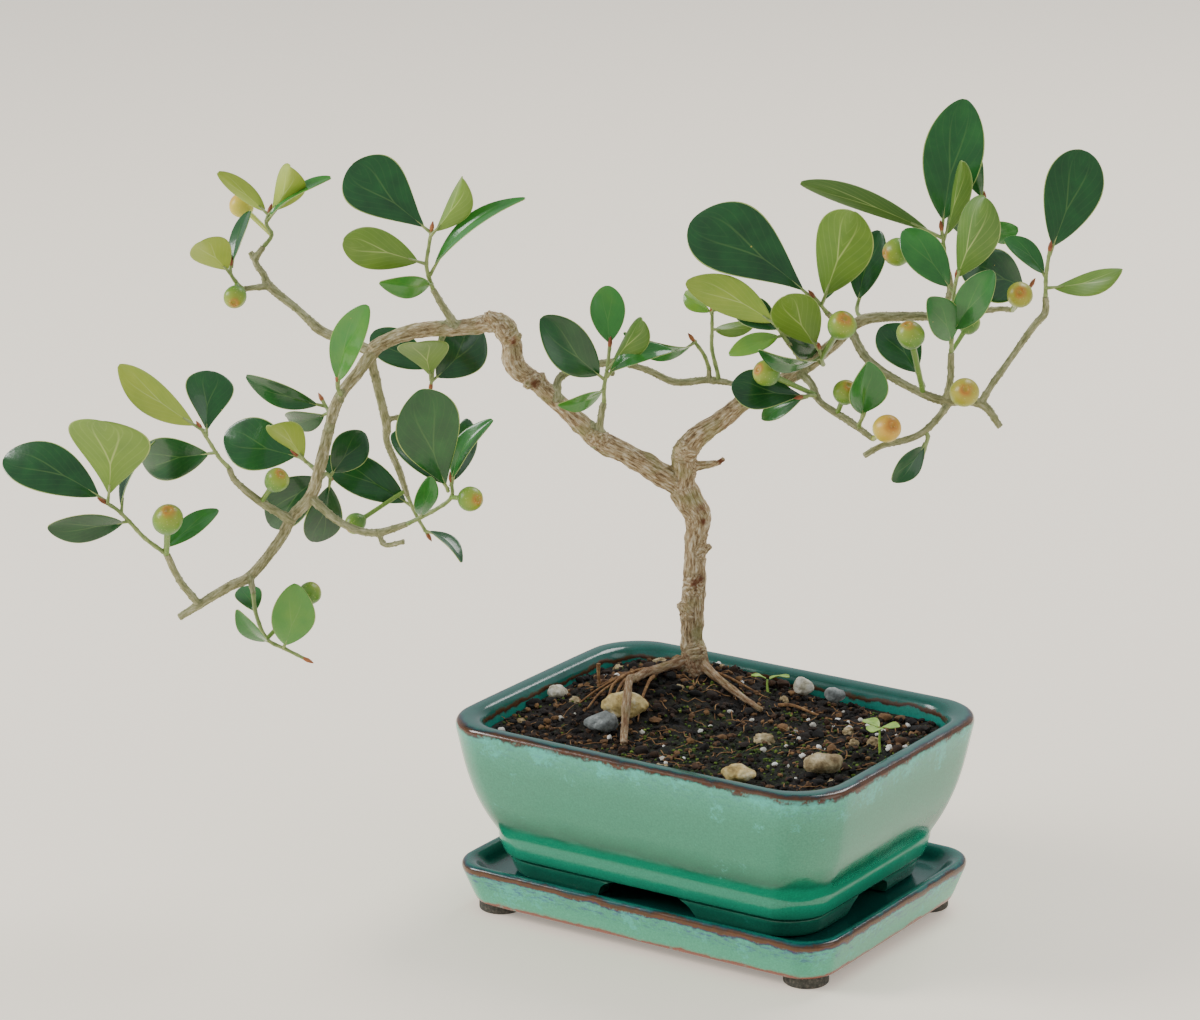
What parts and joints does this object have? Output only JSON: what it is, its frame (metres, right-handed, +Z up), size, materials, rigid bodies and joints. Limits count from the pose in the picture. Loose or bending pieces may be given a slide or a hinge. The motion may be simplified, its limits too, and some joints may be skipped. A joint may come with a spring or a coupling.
{
  "type": "bonsai tree in a pot",
  "caption": "Small fig tree trained as a bonsai with spreading limbs, blunt oval leaves and round figs, in a glazed rectangular footed pot on a matching drip tray.",
  "frame": {"origin": "on the surface that the tray stands on, under the middle of the whole plant's box; the pot's own middle is at x 56 mm, y 8.5 mm", "axes": "+X along the pot's long side, towards its right end; +Y across the pot, from its front to its back; +Z up"},
  "size_m": [0.3326, 0.248, 0.2839],
  "materials": {
    "pot_glaze": "sea-green glaze over brown stoneware, darker teal on the rim, brown where the glaze breaks at the edge",
    "tray_glaze": "the same sea-green glaze with a brown edge, bare clay feet",
    "screen_plastic": "black plastic drainage mesh",
    "potting_soil": "dark peat soil with moss, bark fibre and white perlite",
    "bark": "grey-tan bark with paler scars and darker knots",
    "leaf": "leathery leaves, glossy dark green above and olive beneath",
    "fig_skin": "yellow-green fig skin with pale dots and an orange-brown eye",
    "weed": "thin light green leaf",
    "flint": "yellow flint with a chalky skin",
    "slate": "blue-grey stone",
    "quartz": "whitish stone",
    "sandstone": "pale brown stone"
  },
  "bodies": {
    "root": {"drip_tray": "tray_glaze", "pot": "pot_glaze", "drain_screen_left": "screen_plastic", "drain_screen_right": "screen_plastic", "soil": "potting_soil", "tree_wood": "bark", "flint_yellow": "flint", "stone_front": "flint", "stone_under_root": "slate", "stone_blue_grey": "slate", "stone_white": "quartz", "flint_pale": "quartz", "stone_front_right": "sandstone", "seedling": "weed", "sprout": "weed", "spray_far_left": "leaf", "spray_left_middle": "leaf", "spray_low": "leaf", "spray_top_left": "leaf", "spray_upper_left": "leaf", "leaf_crook": "leaf", "spray_crook_back": "leaf", "spray_fork": "leaf", "spray_fork_back": "leaf", "spray_under_limb": "leaf", "spray_upper": "leaf", "spray_curl": "leaf", "spray_inner": "leaf", "spray_middle": "leaf", "spray_twig_arch": "leaf", "spray_twig_small": "leaf", "spray_right_inner": "leaf", "spray_right_shade": "leaf", "spray_crown_left": "leaf", "leaf_crown_inner": "leaf", "spray_low_front": "leaf", "leaf_low_middle": "leaf", "spray_crossing": "leaf", "spray_inner_right": "leaf", "spray_top_right": "leaf", "spray_top_back": "leaf", "spray_right_back": "leaf", "spray_heart": "leaf", "leaf_low_right": "leaf", "fig_far_left": "fig_skin", "fig_left_fork": "fig_skin", "fig_top_left": "fig_skin", "fig_upper_left": "fig_skin", "fig_low": "fig_skin", "fig_curl": "fig_skin", "fig_behind": "fig_skin", "fig_top_right": "fig_skin", "fig_crown": "fig_skin", "fig_middle_right": "fig_skin", "fig_front_left": "fig_skin", "fig_front_low": "fig_skin", "fig_yellow": "fig_skin", "fig_front": "fig_skin", "fig_right": "fig_skin", "fig_shaded": "fig_skin"}
  },
  "joints": []
}
